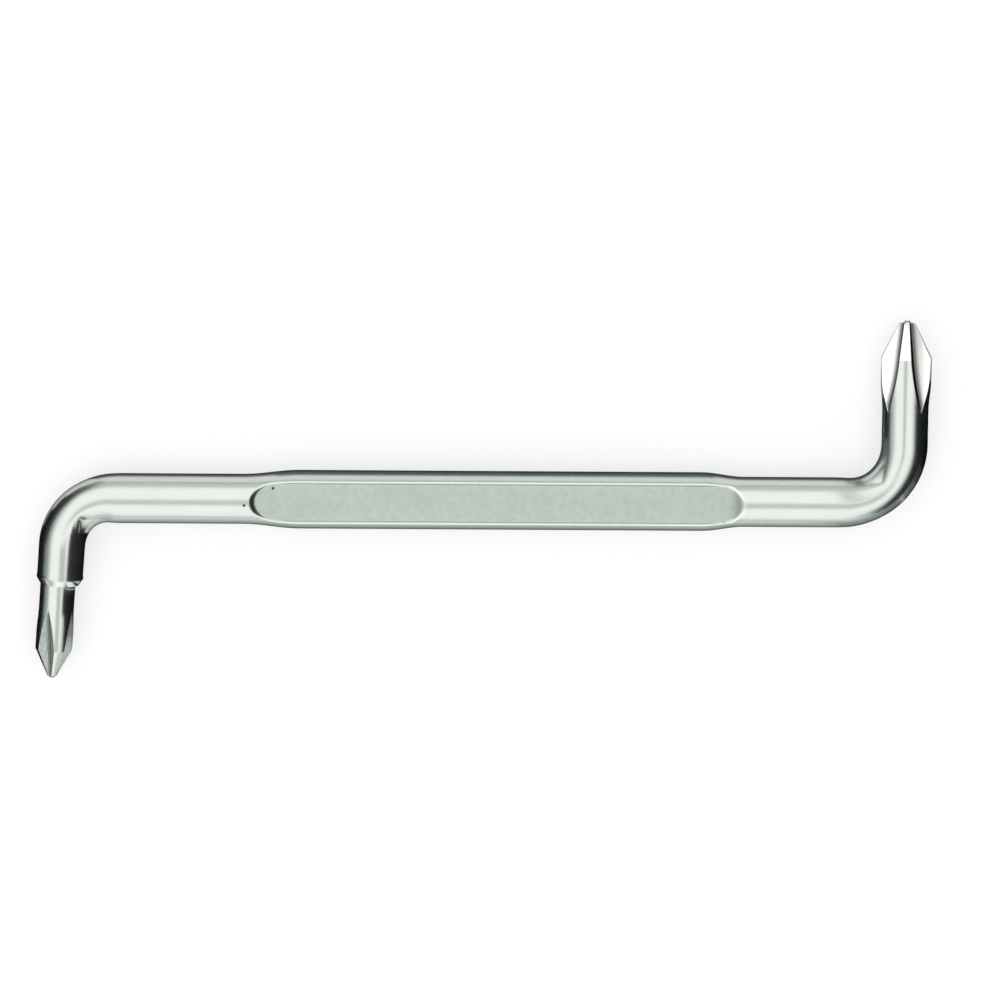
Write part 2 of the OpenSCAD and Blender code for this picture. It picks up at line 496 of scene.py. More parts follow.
@dataclass(frozen=True)
class Chrome:
    """A chrome plated steel finish, satin or bright, with painted shade and a painted highlight
    laid over its colour.
    """

    name: str
    colour: Colour = (0.62, 0.655, 0.625)
    worn_colour: Colour = (0.59, 0.62, 0.6)
    panel_colour: Colour = (0.475, 0.54, 0.495)
    panel_light: Colour = (0.525, 0.593, 0.548)
    # Worn rims are painted this much lighter than the plating, as a highlight.
    rim_highlight_colour: Colour = (0.8, 0.83, 0.8)
    ground_colour: Colour = (0.62, 0.655, 0.625)
    ground_light: Colour = (0.62, 0.67, 0.64)
    # The colour of painted shade, used for the real pinholes too.
    shade_and_pit_colour: Colour = (0.03, 0.034, 0.034)
    edge_tint: float = 0.1
    roughness: float = 0.25
    panel_roughness: float = 0.4
    ground_roughness: float = 0.2
    cloud_roughness: float = 0.08
    grain_roughness: float = 0.05
    # How the noise patterns are mixed, and between which values each mixture sets in.
    wear: float = 0.35
    wear_mix: Pair = (0.6, 0.4)
    wear_band: Pair = (0.42, 0.66)
    patch_mix: Point = (0.5, 0.2, 0.3)
    patch_band: Pair = (0.4, 0.6)
    grind_band: Pair = (0.42, 0.66)
    # How wide the blotches of each pattern are, and how high they stand.
    cloud: float = 6.0
    grain: float = 0.12
    grain_depth: float = 0.0006
    wave: float = 3.2
    wave_depth: float = 0.004
    mottle: float = 0.9
    mottle_depth: float = 0.007
    grind: float = 0.16
    grind_stretch: float = 0.05
    pits: tuple[Pair, ...] = ()
    pit_r: float = 0.3
    pit_core: float = 0.3

    def pit_mask(self, desk: NodeDesk, place: Any) -> Wire | float:
        """The few pinholes in the plating.

        Args:
            desk: The material's desk.
            place: The coordinates' socket.

        Returns:
            1 inside a pinhole and 0 outside.
        """
        mask: Wire | float = 0.0
        for x, y in self.pits:
            gap = desk.wire(
                "ShaderNodeVectorMath",
                {"operation": "DISTANCE"},
                {0: desk.scaled(place, (1.0, 1.0, 0.0)), 1: (x * MM, y * MM, 0.0)},
                "Value",
            )
            mask = gap.between(self.pit_r * MM, self.pit_r * MM * self.pit_core) + mask
        return mask

    def material(self) -> bpy.types.Material:
        """Makes the node material.

        Returns:
            The material.
        """
        material = bpy.data.materials.new(self.name)
        material.use_nodes = True
        desk = NodeDesk(material.node_tree)
        place = desk.node("ShaderNodeTexCoord", {}, {}).outputs["Object"]
        panel, painted_shade = desk.share("panel"), desk.share("painted_shade")
        rim, ground = desk.share("rim"), desk.share("ground")
        cloud = desk.noise(place, self.cloud)
        grain = desk.noise(place, self.grain, detail=3.0)
        wave = desk.noise(place, self.wave, detail=1.0)
        mottle = desk.noise(place, self.mottle, detail=4.0)
        strokes = desk.noise(desk.scaled(place, (1.0, self.grind_stretch, 1.0)), self.grind)
        worn = cloud * self.wear_mix[0] + mottle * self.wear_mix[1]
        worn = worn.between(*self.wear_band) * self.wear
        of_mottle, of_wave, of_grain = self.patch_mix
        patches = mottle * of_mottle + wave * of_wave + grain * of_grain
        patches = patches.between(*self.patch_band)
        layers = (
            (worn, self.worn_colour),
            (panel, self.panel_colour),
            (panel * patches, self.panel_light),
            # Worn rims and the shoulder's bevel are painted lighter, as a highlight.
            (rim, self.rim_highlight_colour),
            (ground, self.ground_colour),
            (ground * strokes.between(*self.grind_band), self.ground_light),
            # Painted shade on the panel's end wall, its ramp and the flute roots, and the real
            # pinholes, in one dark colour.
            (painted_shade + self.pit_mask(desk, place), self.shade_and_pit_colour),
        )
        colour = (*self.colour, 1.0)
        for share, tone in layers:
            colour = desk.blend(share, colour, tone)
        rough = (
            self.roughness
            + panel * (self.panel_roughness - self.roughness)
            + ground * (self.ground_roughness - self.roughness)
            + (cloud - 0.5) * self.cloud_roughness
            + (grain - 0.5) * self.grain_roughness
        )
        normal = desk.bump(grain, self.grain_depth)
        normal = desk.bump(wave, self.wave_depth, normal)
        normal = desk.bump(mottle * panel, self.mottle_depth, normal)
        shader = desk.node(
            "ShaderNodeBsdfPrincipled",
            {},
            {
                "Base Color": colour,
                "Metallic": 1.0,
                "Roughness": rough,
                "Specular Tint": (self.edge_tint, self.edge_tint, self.edge_tint, 1.0),
                "Normal": normal,
            },
        )
        desk.node("ShaderNodeOutputMaterial", {}, {"Surface": shader.outputs[0]})
        return material


@dataclass(frozen=True)
class FloorPaint:
    """The studio floor's matt pale finish, partly lit through from below."""

    colour: Colour = (0.93, 0.93, 0.94)
    roughness: float = 0.9
    shine: float = 0.0
    glow: float = 0.62

    def material(self) -> bpy.types.Material:
        """Makes the node material.

        Returns:
            The material.
        """
        material = bpy.data.materials.new("pale_floor")
        material.use_nodes = True
        desk = NodeDesk(material.node_tree)
        paint = desk.node(
            "ShaderNodeBsdfPrincipled",
            {},
            {
                "Base Color": (*self.colour, 1.0),
                "Roughness": self.roughness,
                "Specular IOR Level": self.shine,
            },
        )
        light = desk.node("ShaderNodeEmission", {}, {"Color": (1.0, 1.0, 1.0, 1.0)})
        path = desk.node("ShaderNodeLightPath", {}, {}).outputs
        seen = Wire(desk, path["Is Camera Ray"]) + Wire(desk, path["Is Glossy Ray"])
        seen = seen + Wire(desk, path["Is Transmission Ray"])
        share = (seen > 0) * self.glow
        shader = desk.node(
            "ShaderNodeMixShader", {}, {0: share, 1: paint.outputs[0], 2: light.outputs[0]}
        )
        desk.node("ShaderNodeOutputMaterial", {}, {"Surface": shader.outputs[0]})
        return material


@dataclass
class Elbow:
    """One bend with the arm below it and the end of the bar above it, along one centre line.

    Points are made for the size 1 end, where the bend starts at the bar's end and turns
    towards -Y. The size 2 end is the same, turned half round.
    """

    end: End
    bend_node: str
    arm_node: str
    bend_r: float
    lean: float
    bar_r: float
    bend_tube_r: float
    arm_r: float
    arm_l: float
    draw_l: float = 1.5
    # The shoulder over a thinner blade, where the arm has one.
    bevel_l: float = 0.0
    ledge_r: float = 0.0
    lip: float = 0.0
    lip_l: float = 0.5
    ledge_soft: float = 0.06
    # How far the shoulder's bevel fades into its painted highlight.
    rim_highlight_run: float = 0.2
    # The fold on the inside of the bend.
    fold: float = 0.9
    fold_soft: float = 0.1
    edge_soft: float = 1.86
    edge_from: float = 0.55
    edge_run: float = 0.45
    # How many rings the bend, the arm and the shoulder have.
    bend_rings: int = 72
    arm_rings: int = 14
    lip_rings: int = 24
    bar_x: float = field(init=False)
    axis_z: float = field(init=False)

    def __post_init__(self) -> None:
        """Takes the bar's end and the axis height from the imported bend."""
        low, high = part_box(self.bend_node)
        inner = high.x if self.end is End.SIZE_1 else -low.x
        self.bar_x = inner / MM
        self.axis_z = (low.z + high.z) / 2 / MM

    @property
    def bend_l(self) -> float:
        """Length of the bend along its centre line."""
        return self.bend_r * np.radians(90 - self.lean)

    def arm_matrix(self) -> Matrix:
        """The arm's own frame: +Z towards the tip, +X towards the grip, +Y up."""
        lean = np.radians(self.lean)
        start = Vector((
            self.bar_x - self.bend_r * np.cos(lean),
            -self.bend_r * (1 - np.sin(lean)),
            self.axis_z,
        ))
        turn = Matrix.Rotation(-lean, 4, "Z") @ Matrix.Rotation(np.pi / 2, 4, "X")
        return self.end.matrix() @ Matrix.Translation(start) @ turn

    def tube_r(self, along: Array) -> Array:
        """Radius of the bar, the bend and the arm.

        Args:
            along: Distances from the start of the bend, along the centre line.

        Returns:
            The radii.
        """
        # The bar thins over the first third of the bend, and the arm from its middle on.
        radius = self.bar_r + (self.bend_tube_r - self.bar_r) * ease(
            (along + self.draw_l) / (self.draw_l + self.bend_l / 3)
        )
        radius = radius + (self.arm_r - self.bend_tube_r) * ease(
            (along - self.bend_l / 2) / (self.bend_l / 2 + self.arm_l / 2)
        )
        if not self.bevel_l:
            return radius
        edge = self.bend_l + self.arm_l - self.bevel_l
        rolled = self.lip * ease((along - edge + self.lip_l) / self.lip_l)
        slope = (self.arm_r + self.lip - self.ledge_r) / self.bevel_l
        bevel = self.arm_r + self.lip - (along - edge) * slope
        return soft_min(radius + rolled, bevel, self.ledge_soft)

    def surface(self, along: Array, angle: Array) -> Array:
        """Points on the surface.

        Args:
            along: Distances from the start of the bend.
            angle: Angles round the tube, from the outer side of the bend towards the top.

        Returns:
            The points.
        """
        turn = np.clip(along, 0, self.bend_l) / self.bend_r
        outward = np.stack([-np.sin(turn), np.cos(turn), 0 * turn], axis=-1)
        onward = np.stack([-np.cos(turn), -np.sin(turn), 0 * turn], axis=-1)
        straight = along - np.clip(along, 0, self.bend_l)
        centre = np.array([self.bar_x, -self.bend_r, self.axis_z])
        radius = self.tube_r(along)
        upward = np.array([0.0, 0.0, 1.0]) * (radius * np.sin(angle))[..., None]
        reach = (self.bend_r + radius * np.cos(angle)) / self.folded(turn, angle)
        return self.end.place(
            centre + outward * reach[..., None] + onward * straight[..., None] + upward
        )

    def folded(self, turn: Array, angle: Array) -> Array:
        """How much the inner side of the bend is folded towards a mitre of bar and arm.

        Args:
            turn: Angles round the bend.
            angle: Angles round the tube.

        Returns:
            What the distance from the bend's centre is divided by.
        """
        inner = np.clip(-np.cos(angle), 0, 1)
        edge = ease((inner - self.edge_from) / self.edge_run)
        soft = self.fold_soft + (self.edge_soft - self.fold_soft) * edge
        nearer = soft_min(turn, np.radians(90 - self.lean) - turn, soft)
        return 1 - np.minimum(self.fold * inner, 1) * (1 - np.cos(nearer))

    def patch(self, along: Array) -> tuple[Array, Array]:
        """Rings of points round the tube.

        Args:
            along: The rings' distances from the start of the bend.

        Returns:
            The points and their normals.
        """
        angle = np.arange(RING_SEGMENTS) * 2 * np.pi / RING_SEGMENTS
        grid_s, grid_a = np.meshgrid(along, angle, indexing="ij")
        step = 0.01
        ahead = self.surface(grid_s + step, grid_a) - self.surface(grid_s - step, grid_a)
        around = self.surface(grid_s, grid_a + step) - self.surface(grid_s, grid_a - step)
        return self.surface(grid_s, grid_a), np.cross(ahead, around)

    def tube(self, name: str, along: Array) -> bpy.types.Mesh:
        """A length of the tube as a closed mesh.

        Args:
            name: The mesh's name.
            along: The rings' distances from the start of the bend.

        Returns:
            The mesh.
        """
        skin = Skin()
        points, normals = self.patch(along)
        shares = np.zeros((*points.shape[:2], len(SKIN_SHARES)))
        if self.bevel_l:
            edge = self.bend_l + self.arm_l - self.bevel_l
            # The worn bevel is painted lighter, as a highlight.
            rim = ease((along - edge) / self.rim_highlight_run)
            shares[..., SKIN_SHARES.index("rim")] = rim[:, None]
        skin.add(points, normals, shares, ring=True)
        for ring, inside in ((points[0], points[1]), (points[-1], points[-2])):
            skin.cap(ring, ring.mean(axis=0) - inside.mean(axis=0))
        return skin.mesh(name)

    def build(self, material: bpy.types.Material) -> None:
        """Makes the bend and the arm.

        Args:
            material: Their finish.
        """
        bend_name, arm_name = self.bend_node + "_skin", self.arm_node + "_skin"
        bend = self.tube(bend_name, np.linspace(0, self.bend_l, self.bend_rings + 1))
        dressed(bend_name, bend, material, Slot.BODY, self.bend_node)
        finish = self.bend_l + self.arm_l
        along = np.linspace(self.bend_l, finish, self.arm_rings + 1)
        if self.bevel_l:
            edge = finish - self.bevel_l
            near = np.linspace(-self.lip_l, self.lip_l, self.lip_rings + 1)
            along = np.union1d(along[along < edge - self.lip_l], edge + near)
            along = np.union1d(along, [finish])
        arm = self.tube(arm_name, along)
        dressed(arm_name, arm, material, Slot.BODY, self.arm_node)


@dataclass
class Grip:
    """The bar between the bends: swelled, and pressed with a panel above and below."""

    left: Elbow
    right: Elbow
    # The bar and its panel.
    grip_r: float = 4.1
    bar_r: float = 3.5
    length: float = 70.0
    shift: float = 1.75
    taper_1: float = 8.0
    taper_2: float = 6.0
    panel_t: float = 5.2
    panel_w: float = 5.05
    panel_in_1: float = 1.1
    panel_in_2: float = 0.05
    round_l: float = 3.4
    wall_angle: float = 45.0
    end_angle: float = 56.0
    ramp_angle: float = 26.0
    # How its foot and its crest are rounded, with the lengths over which that changes.
    fillet: float = 0.07
    ramp_fillet: float = 0.4
    ramp_foot_l: float = 2.0
    end_fillet: float = 0.22
    end_foot_from: float = 0.5
    end_foot_l: float = 2.5
    crest: float = 0.36
    ramp_crest: float = 0.16
    crest_run: float = 0.9
    # Where it is dull, where shade is painted on its end wall and ramp, and where its worn crest
    # is painted lighter as a highlight.
    floor_depth: float = 0.35
    wall_h: float = 0.6
    end_wall_shade: float = 0.95
    ramp_shade: float = 0.42
    foot_shade: float = 0.35
    end_slope: float = 1.1
    ramp_slope: float = 0.45
    rim_highlight_width: float = 0.22
    rim_highlight_power: float = 1.5
    # How the net of points is divided.
    margin: float = 0.6
    station: float = 0.4
    corner_steps: int = 8
    outer_rings: int = 14
    outer_crowd: float = 1.8
    wall_rings: int = 14
    wall_reach: float = 1.3
    least_reach: float = 0.2
    floor_share: Pair = (0.5, 0.3)
    floor_rings: int = 7
    flank_share: float = 0.93
    near_rings: int = 9
    far_rings: int = 15
    drawn_share: float = 1.5
    # What the solver looks between: heights of the panel, and distances from its middle.
    panel_range: Pair = (-1.2, 4.0)
    farthest: float = 7.0
    # Places along the bar, which follow from the sizes.
    x1: float = field(init=False)
    x2: float = field(init=False)
    round_x: float = field(init=False)
    ramp_x: float = field(init=False)
    from_x: float = field(init=False)
    to_x: float = field(init=False)

    def __post_init__(self) -> None:
        """Works out the places along the bar."""
        self.x1 = self.shift - self.length / 2
        self.x2 = self.shift + self.length / 2
        rise = self.bar_r - self.panel_t / 2
        self.round_x = (
            self.x1 + self.panel_in_1 + rise / np.tan(np.radians(self.end_angle)) + self.round_l
        )
        self.ramp_x = self.x2 - self.panel_in_2 - rise / np.tan(np.radians(self.ramp_angle))
        self.from_x = self.x1 - self.margin
        self.to_x = self.x2 + self.margin

    def bar(self, x: Array) -> Array:
        """Radius of the swelled bar.

        Args:
            x: Places along the bar.

        Returns:
            The radii.
        """
        swell = ease((x - self.x1) / self.taper_1) * ease((self.x2 - x) / self.taper_2)
        return self.bar_r + (self.grip_r - self.bar_r) * swell

    def panel(self, x: Array, y: Array) -> Array:
        """Height of the panel's walls and ramp over its floor, below zero inside the floor.

        Args:
            x: Places along the bar.
            y: Places across it.

        Returns:
            The heights.
        """
        half = self.panel_w / 2
        wall = np.tan(np.radians(self.wall_angle))
        side = (np.abs(y) - half) * wall
        ramp = (x - self.ramp_x) * np.tan(np.radians(self.ramp_angle))
        steep = np.tan(np.radians(self.end_angle))
        back = np.minimum(x - self.round_x, 0)

        def inside(height: Array) -> Array:
            """Rises through zero at the height whose rounded outline holds the place."""
            long = back / (self.round_l + height / steep)
            wide = y / (half + height / wall)
            return 1 - long * long - wide * wide

        low, high = self.panel_range
        end = solve(inside, np.full_like(x, low), np.full_like(x, high))
        return np.where(x < self.round_x, end, soft_max(side, ramp, self.fillet))

    def top(self, x: Array, y: Array) -> Array:
        """Height of the pressed surface over the bar's axis.

        Args:
            x: Places along the bar.
            y: Places across it.

        Returns:
            The heights.
        """
        radius = self.bar(x)
        bar = np.sqrt(np.maximum(radius**2 - y**2, 1e-6))
        ramp = ease((x - self.ramp_x + self.ramp_foot_l) / self.ramp_foot_l)
        end = ease((self.round_x - self.end_foot_from - x) / self.end_foot_l)
        foot = self.fillet + (self.ramp_fillet - self.fillet) * ramp
        foot = foot + (self.end_fillet - self.fillet) * end
        pressed = self.panel_t / 2 + soft_max(self.panel(x, y), 0 * x, foot)
        rise = ease((x - self.ramp_x) / self.crest_run)
        edge = self.crest + (self.ramp_crest - self.crest) * rise
        return soft_min(bar, pressed, edge)

    def reach(self, x: Array, y: Array, dx: Array, dy: Array, crest: bool) -> Array:
        """Distance from inside the panel to its crest or to the edge of its floor.

        Args:
            x: Where each ray starts, along the bar.
            y: And across it.
            dx: Which way it goes, along the bar.
            dy: And across it.
            crest: Whether the crest is meant.

        Returns:
            The distances.
        """

        def rule(gap: Array) -> Array:
            """Rises through zero at the crest or at the floor's edge."""
            px, py = x + dx * gap, y + dy * gap
            height = self.panel(px, py)
            if not crest:
                return height
            return self.panel_t / 2 + height - np.sqrt(np.maximum(self.bar(px) ** 2 - py**2, 0))

        return solve(rule, np.zeros_like(x), np.full_like(x, self.farthest))

    def stations(self) -> tuple[Array, Array]:
        """Rays from the middle of the panel, and where each one leaves the pressed zone.

        Returns:
            Each ray's start and direction, and the place and angle on the zone's border.
        """
        count = int((self.ramp_x - self.round_x) / self.station)
        along = np.linspace(self.round_x, self.ramp_x, count + 1)[1:-1]
        half_ring = RING_SEGMENTS // 2
        turns = np.linspace(0, np.pi, 2 * self.corner_steps + half_ring + 1)
        steps = np.linspace(0, 1, self.corner_steps + 1)[:-1]
        arc = np.linspace(0, np.pi, half_ring + 1)
        rays, borders = [], []

        def end(middle: float, side: float, out: float) -> None:
            """Adds the rays of one rounded end."""
            edge = [(middle + (out - middle) * s, 0.0) for s in steps]
            edge += [(out, a) for a in arc]
            edge += [(x, np.pi) for x, _ in reversed(edge[: self.corner_steps])]
            rays.extend((middle, 0.0, side * np.sin(t), np.cos(t)) for t in turns)
            borders.extend(edge)

        end(self.round_x, -1.0, self.from_x)
        rays.extend((x, 0.0, 0.0, -1.0) for x in along)
        borders.extend((x, np.pi) for x in along)
        first = len(rays)
        end(self.ramp_x, 1.0, self.to_x)
        rays[first:] = rays[first:][::-1]
        borders[first:] = borders[first:][::-1]
        rays.extend((x, 0.0, 0.0, 1.0) for x in along[::-1])
        borders.extend((x, 0.0) for x in along[::-1])
        return np.array(rays), np.array(borders)

    def net(self) -> tuple[Array, Array, Array]:
        """The pressed zone's net of points, seen from above.

        Returns:
            The points' places along and across the bar, and their angles round it outside
            the panel. Each row is one ray, from the zone's border to the panel's middle.
        """
        rays, borders = self.stations()
        x, y, dx, dy = rays.T
        crest = self.reach(x, y, dx, dy, True)
        along, across = self.floor_share
        least = crest * (along + across * dy**4)
        floor = np.maximum(self.reach(x, y, dx, dy, False), least)
        crest_x, crest_y = x + dx * crest, y + dy * crest
        crest_a = np.arccos(np.clip(crest_y / self.bar(crest_x), -1, 1))
        out = crowded(self.outer_rings, self.outer_crowd)
        outer_x = borders[:, :1] + (crest_x[:, None] - borders[:, :1]) * out
        outer_a = borders[:, 1:] + (crest_a[:, None] - borders[:, 1:]) * out
        outer_y = self.bar(outer_x) * np.cos(outer_a)
        down = np.linspace(0, self.wall_reach, self.wall_rings + 1)[1:]
        wall = crest[:, None] + (floor - crest)[:, None] * down
        wall = np.maximum(wall, self.least_reach * floor[:, None])
        inner = wall[:, -1:] * (1 - np.linspace(0, 1, self.floor_rings + 1)[1:])
        gap = np.concatenate([wall, inner], axis=1)
        px = np.concatenate([outer_x, x[:, None] + dx[:, None] * gap], axis=1)
        py = np.concatenate([outer_y, y[:, None] + dy[:, None] * gap], axis=1)
        angle = np.zeros_like(px)
        angle[:, : outer_a.shape[1]] = outer_a
        return px, py, angle

    def shares(self, x: Array, y: Array, height: Array, slope_x: Array) -> Array:
        """How much the surface is pressed panel, painted shade, and worn crest painted lighter as
        a highlight.

        Args:
            x: Places along the bar.
            y: Places across it.
            height: Heights over the bar's axis.
            slope_x: How fast the heights rise along the bar.

        Returns:
            The three shares, last.
        """
        bar = np.sqrt(np.maximum(self.bar(x) ** 2 - y**2, 0))
        mask = np.clip((bar - height) / self.floor_depth, 0, 1)
        # Shade is painted on the steep end wall and on the ramp, darker higher up them.
        end_wall = np.clip(-slope_x / self.end_slope, 0, 1)
        ramp = np.clip(slope_x / self.ramp_slope, 0, 1)
        rise = np.clip((height - self.panel_t / 2) / self.wall_h, 0, 1)
        higher = self.foot_shade + (1 - self.foot_shade) * rise
        painted_shade = mask * higher * (self.end_wall_shade * end_wall + self.ramp_shade * ramp)
        # A highlight is painted along the worn crest, where the panel meets the bar.
        lip = self.panel_t / 2 + np.maximum(self.panel(x, y), 0) - bar
        rim = np.clip(1 - np.abs(lip) / self.rim_highlight_width, 0, 1) ** self.rim_highlight_power
        return np.stack([mask, painted_shade, rim], axis=-1)

    def pressed(self, skin: Skin) -> None:
        """Adds the pressed zone, above and below.

        Args:
            skin: The skin that takes it.
        """
        x, y, angle = self.net()
        radius = self.bar(x)
        steep = np.abs(y) > self.flank_share * radius
        height = np.where(steep, radius * np.sin(angle), self.top(x, y))
        step = 0.004
        slope_x = (self.top(x + step, y) - self.top(x - step, y)) / (2 * step)
        slope_y = (self.top(x, y + step) - self.top(x, y - step)) / (2 * step)
        grow = (self.bar(x + step) - self.bar(x - step)) / (2 * step)
        upper = np.stack([-slope_x, -slope_y, np.ones_like(x)], axis=-1)
        flank = np.stack([-grow, np.cos(angle), np.sin(angle)], axis=-1)
        normals = np.where(steep[..., None], flank, upper)
        shares = np.where(steep[..., None], 0, self.shares(x, y, height, slope_x))
        for side in (1.0, -1.0):
            points = np.stack([x, y, self.left.axis_z + side * height], axis=-1)
            turned = normals * np.array([1.0, 1.0, side])
            skin.add(*(np.concatenate([rows, rows[:1]]) for rows in (points, turned, shares)))

    def build(self, material: bpy.types.Material) -> None:
        """Makes the grip with the two ends of the bar.

        Args:
            material: Its finish.
        """
        skin = Skin()
        self.pressed(skin)
        for elbow, stop in ((self.left, self.from_x), (self.right, -self.to_x)):
            drawn = elbow.draw_l * self.drawn_share
            near = np.linspace(0, drawn, self.near_rings + 1)
            far = np.linspace(drawn, stop - elbow.bar_x, self.far_rings + 1)[1:]
            along = -np.concatenate([near, far])
            points, normals = elbow.patch(along)
            skin.add(points, normals, ring=True)
            skin.cap(points[0], points[0].mean(axis=0) - points[1].mean(axis=0))
        dressed("grip_skin", skin.mesh("grip_skin"), material, Slot.BODY, "grip")


@dataclass
class PointMaker:
    """A geometry tree that turns one quarter of a cross point into the whole point.

    The tree works in metres and radians, and so do its weld and its sharp angle.
    """

    quarters: int = 4
    weld: float = 2e-6
    sharp_angle: float = 0.7
    tree: bpy.types.NodeTree = field(init=False)

    def __post_init__(self) -> None:
        """Builds the tree, with a named input for each size and for the finish."""
        self.tree = bpy.data.node_groups.new("quarters_to_point", "GeometryNodeTree")
        sockets = (
            ("Quarter", "INPUT", "NodeSocketGeometry"),
            ("Quarters", "INPUT", "NodeSocketInt"),
            ("Weld", "INPUT", "NodeSocketFloat"),
            ("Sharp Angle", "INPUT", "NodeSocketFloat"),
            ("Finish", "INPUT", "NodeSocketMaterial"),
            ("Point", "OUTPUT", "NodeSocketGeometry"),
        )
        for name, way, kind in sockets:
            self.tree.interface.new_socket(name, in_out=way, socket_type=kind)
        desk = NodeDesk(self.tree)
        given = desk.node("NodeGroupInput", {}, {}).outputs
        spots = desk.node("GeometryNodePoints", {}, {"Count": given["Quarters"]})
        index = desk.wire("GeometryNodeInputIndex", {}, {})
        each = index * (2 * np.pi) / Wire(desk, given["Quarters"])
        turn = desk.node("ShaderNodeCombineXYZ", {}, {"Z": each})
        copies = desk.node(
            "GeometryNodeInstanceOnPoints",
            {},
            {
                "Points": spots.outputs[0],
                "Instance": given["Quarter"],
                "Rotation": turn.outputs[0],
            },
        )
        real = desk.node("GeometryNodeRealizeInstances", {}, {"Geometry": copies.outputs[0]})
        merged = desk.node(
            "GeometryNodeMergeByDistance",
            {},
            {"Geometry": real.outputs[0], "Distance": given["Weld"]},
        )
        smooth = desk.node(
            "GeometryNodeSetShadeSmooth", {"domain": "FACE"}, {"Geometry": merged.outputs[0]}
        )
        angle = desk.wire("GeometryNodeInputMeshEdgeAngle", {}, {})
        sharp = desk.node(
            "GeometryNodeSetShadeSmooth",
            {"domain": "EDGE"},
            {
                "Geometry": smooth.outputs[0],
                "Selection": angle > Wire(desk, given["Sharp Angle"]),
                "Shade Smooth": False,
            },
        )
        finish = desk.node(
            "GeometryNodeSetMaterial",
            {},
            {"Geometry": sharp.outputs[0], "Material": given["Finish"]},
        )
        desk.node("NodeGroupOutput", {}, {0: finish.outputs[0]})

    def whole(self, quarter: bpy.types.Mesh, material: bpy.types.Material) -> bpy.types.Mesh:
        """Runs the tree on a quarter.

        Args:
            quarter: The quarter's open mesh, with the point's axis along Z.
            material: The finish.

        Returns:
            The whole point as a plain closed mesh.
        """
        carrier = bpy.data.objects.new("quarter", quarter)
        bpy.context.scene.collection.objects.link(carrier)
        modifier = carrier.modifiers.new("quarters", "NODES")
        modifier.node_group = self.tree
        values = {
            "Quarters": self.quarters,
            "Weld": self.weld,
            "Sharp Angle": self.sharp_angle,
            "Finish": material,
        }
        for item in self.tree.interface.items_tree:
            if item.name in values:
                modifier[item.identifier] = values[item.name]
        graph = bpy.context.evaluated_depsgraph_get()
        mesh = bpy.data.meshes.new_from_object(carrier.evaluated_get(graph))
        bpy.data.objects.remove(carrier)
        return mesh


